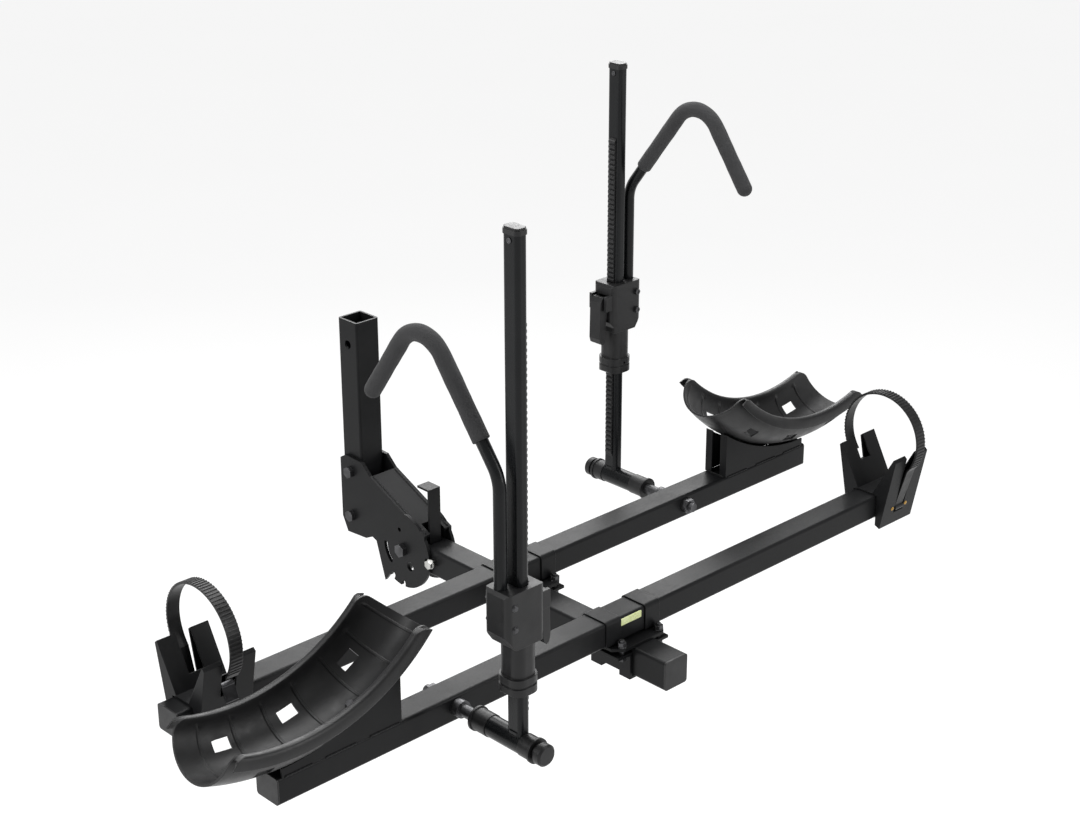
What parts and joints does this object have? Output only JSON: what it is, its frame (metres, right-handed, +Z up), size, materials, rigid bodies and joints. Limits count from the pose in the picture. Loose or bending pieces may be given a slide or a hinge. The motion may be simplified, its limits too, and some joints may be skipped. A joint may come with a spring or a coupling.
{
  "type": "hitch mounted bike rack",
  "caption": "Black folding platform bike rack for a square tow hitch, with wheel cradles, strap holders and fold-flat masts with padded ratchet hooks, shown folded against its upright shank.",
  "frame": {"origin": "centre of the hitch pin hole through the square shank", "axes": "+X along the wheel trays and the hitch pin, +Y away from the trays towards the vehicle side bracket, +Z up the shank towards its open end as the rack is shown folded"},
  "size_m": [1.6694, 0.902, 0.908],
  "materials": {
    "powder_black": "satin black powder coat",
    "black_plastic": "fine-textured moulded nylon",
    "foam_grip": "matt closed-cell foam",
    "dark_steel": "black oxide",
    "zinc_steel": "bright zinc plate",
    "spring_steel": "oiled spring steel",
    "reflector": "yellow-green retroreflective tape"
  },
  "bodies": {
    "hitch_mount": {"shank_tube": "powder_black", "hitch_bracket": "powder_black", "bracket_bolts": "dark_steel", "bracket_nuts": "dark_steel"},
    "latch": {"latch_pin": "zinc_steel", "latch_handle": "powder_black"},
    "outer_mast_arm": {"outer_mast": "powder_black", "outer_mast_cap": "black_plastic", "outer_ratchet_rack": "black_plastic", "outer_pivot_bushes": "black_plastic"},
    "outer_knob": {"outer_mast_knob": "black_plastic"},
    "outer_hook": {"outer_hook_collar": "black_plastic", "outer_collar_screws": "dark_steel", "outer_hook_rod": "powder_black", "outer_foam_grip": "foam_grip"},
    "outer_lever": {"outer_release_lever": "black_plastic"},
    "outer_holder": {"outer_strap_holder": "powder_black", "outer_strap_pin": "zinc_steel"},
    "outer_strap": {"outer_wheel_strap": "black_plastic"},
    "outer_catch": {"outer_strap_catch": "dark_steel"},
    "inner_mast_arm": {"inner_mast": "powder_black", "inner_mast_cap": "black_plastic", "inner_ratchet_rack": "black_plastic", "inner_pivot_bushes": "black_plastic"},
    "inner_knob": {"inner_mast_knob": "black_plastic"},
    "inner_hook": {"inner_hook_collar": "black_plastic", "inner_collar_screws": "dark_steel", "inner_hook_rod": "powder_black", "inner_foam_grip": "foam_grip"},
    "inner_lever": {"inner_release_lever": "black_plastic"},
    "inner_holder": {"inner_strap_holder": "powder_black", "inner_strap_pin": "zinc_steel"},
    "inner_strap": {"inner_wheel_strap": "black_plastic"},
    "inner_catch": {"inner_strap_catch": "dark_steel"},
    "rack": {"spine_tube": "powder_black", "spine_end_cap": "black_plastic", "pivot_bush": "dark_steel", "latch_spring": "spring_steel", "outer_top_plate": "powder_black", "inner_top_plate": "powder_black", "outer_u_clamp": "powder_black", "inner_u_clamp": "powder_black", "clamp_bolts": "dark_steel", "clamp_nuts": "dark_steel", "outer_left_tube": "powder_black", "outer_centre_sleeve": "powder_black", "outer_right_tube": "powder_black", "inner_left_tube": "powder_black", "inner_centre_sleeve": "powder_black", "inner_right_tube": "powder_black", "tray_end_caps": "black_plastic", "reflector": "reflector", "outer_wheel_cradle": "black_plastic", "inner_wheel_cradle": "black_plastic", "outer_cradle_support": "powder_black", "inner_cradle_support": "powder_black", "cradle_screws": "dark_steel", "outer_pivot_stud": "dark_steel", "inner_pivot_stud": "dark_steel", "stud_nuts": "dark_steel"}
  },
  "joints": [
    {"name": "rack_fold", "type": "hinge", "parent": "hitch_mount", "child": "rack", "pos_m": [0, -0.141, -0.349], "axis": [1, 0, 0], "range_deg": [0, 115]},
    {"name": "latch_slide", "type": "slide", "parent": "rack", "child": "latch", "axis": [0, 1, 0], "range_m": [0, 0.0112], "deforming": ["latch_spring"]},
    {"name": "outer_mast_fold", "type": "hinge", "parent": "rack", "child": "outer_mast_arm", "pos_m": [-0.381, -0.815, -0.294], "axis": [0, 1, 0], "range_deg": [0, 85]},
    {"name": "outer_knob_turn", "type": "hinge", "parent": "rack", "child": "outer_knob", "pos_m": [-0.381, -0.87, -0.294], "axis": [0, -1, 0], "continuous": true},
    {"name": "outer_hook_slide", "type": "slide", "parent": "outer_mast_arm", "child": "outer_hook", "axis": [0, 0, -1], "range_m": [-0.27, 0.06]},
    {"name": "outer_lever_lift", "type": "hinge", "parent": "outer_hook", "child": "outer_lever", "pos_m": [-0.344, -0.815, -0.07], "axis": [0, -1, 0], "range_deg": [0, 20], "stiffness_Nm_per_rad": 0.3, "springref_deg": -11.46},
    {"name": "outer_holder_slide", "type": "slide", "parent": "rack", "child": "outer_holder", "axis": [-1, 0, 0], "range_m": [0, 0.15]},
    {"name": "outer_strap_open", "type": "hinge", "parent": "outer_holder", "child": "outer_strap", "pos_m": [0.667, -0.6965, -0.304], "axis": [1, 0, 0], "range_deg": [0, 100]},
    {"name": "outer_catch_lift", "type": "hinge", "parent": "outer_holder", "child": "outer_catch", "pos_m": [0.667, -0.6085, -0.243], "axis": [1, 0, 0], "range_deg": [0, 40], "stiffness_Nm_per_rad": 0.05, "springref_deg": -17.19},
    {"name": "inner_mast_fold", "type": "hinge", "parent": "rack", "child": "inner_mast_arm", "pos_m": [0.381, -0.259, -0.294], "axis": [0, -1, 0], "range_deg": [0, 85]},
    {"name": "inner_knob_turn", "type": "hinge", "parent": "rack", "child": "inner_knob", "pos_m": [0.381, -0.204, -0.294], "axis": [0, 1, 0], "continuous": true},
    {"name": "inner_hook_slide", "type": "slide", "parent": "inner_mast_arm", "child": "inner_hook", "axis": [0, 0, -1], "range_m": [-0.145, 0.185]},
    {"name": "inner_lever_lift", "type": "hinge", "parent": "inner_hook", "child": "inner_lever", "pos_m": [0.344, -0.259, 0.055], "axis": [0, 1, 0], "range_deg": [0, 20], "stiffness_Nm_per_rad": 0.3, "springref_deg": -11.46},
    {"name": "inner_holder_slide", "type": "slide", "parent": "rack", "child": "inner_holder", "axis": [1, 0, 0], "range_m": [0, 0.12]},
    {"name": "inner_strap_open", "type": "hinge", "parent": "inner_holder", "child": "inner_strap", "pos_m": [-0.639, -0.3775, -0.304], "axis": [-1, 0, 0], "range_deg": [0, 100]},
    {"name": "inner_catch_lift", "type": "hinge", "parent": "inner_holder", "child": "inner_catch", "pos_m": [-0.639, -0.4655, -0.243], "axis": [-1, 0, 0], "range_deg": [0, 40], "stiffness_Nm_per_rad": 0.05, "springref_deg": -17.19}
  ]
}
